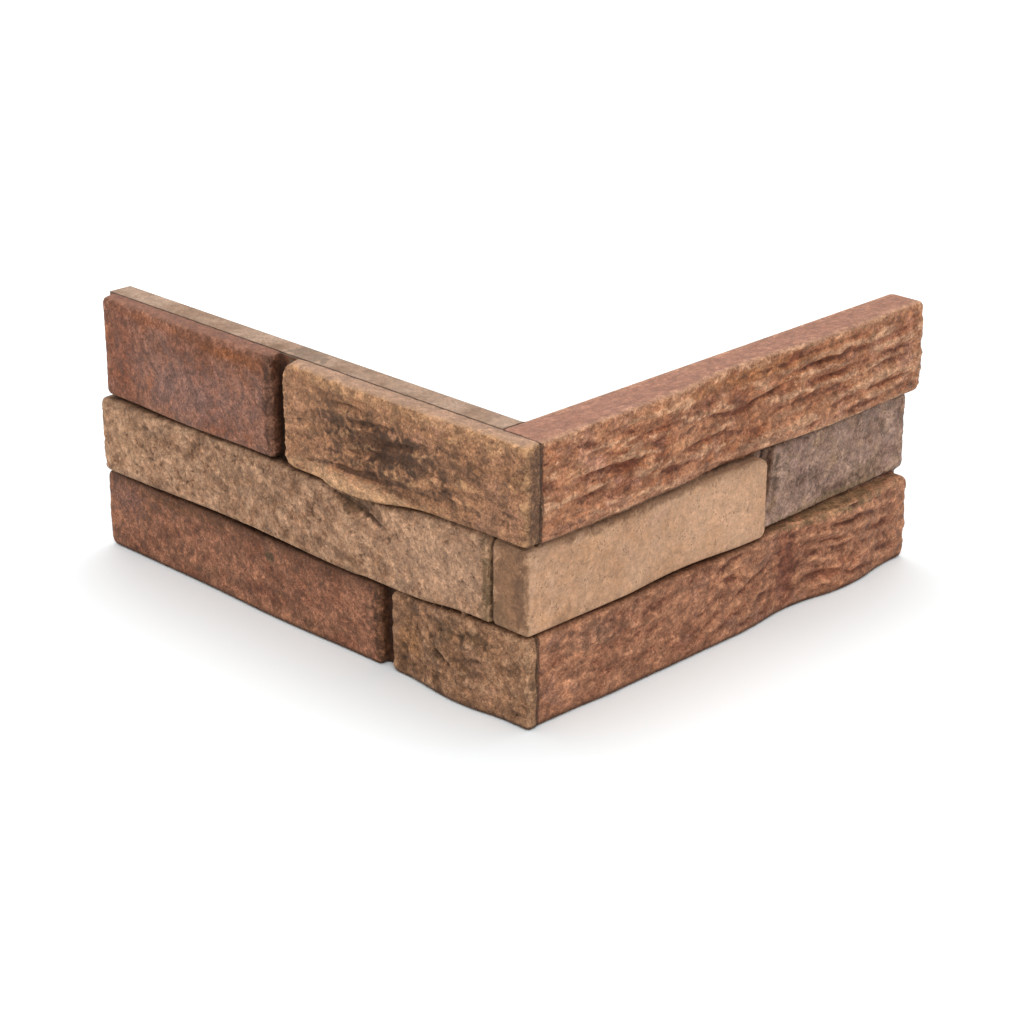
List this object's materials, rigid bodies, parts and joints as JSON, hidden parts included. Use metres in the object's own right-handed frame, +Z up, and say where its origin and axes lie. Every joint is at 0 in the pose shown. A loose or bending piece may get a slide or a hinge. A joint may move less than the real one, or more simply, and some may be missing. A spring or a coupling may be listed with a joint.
{
  "type": "brick veneer corner",
  "caption": "L-shaped moulded brick veneer corner with courses of split-faced slips woven round its arris, for facing an outside corner of a wall.",
  "frame": {"origin": "the wall's arris, on the lower bed, at the inner corner of the L", "axes": "+Z up along the wall's arris; +X along the right wing, +Y along the left wing; the faces look towards -Y and -X"},
  "size_m": [0.2133, 0.2247, 0.1],
  "materials": {
    "brick": "matt, mottled, split face"
  },
  "bodies": {
    "root": {"veneer_corner": "brick"}
  },
  "joints": []
}
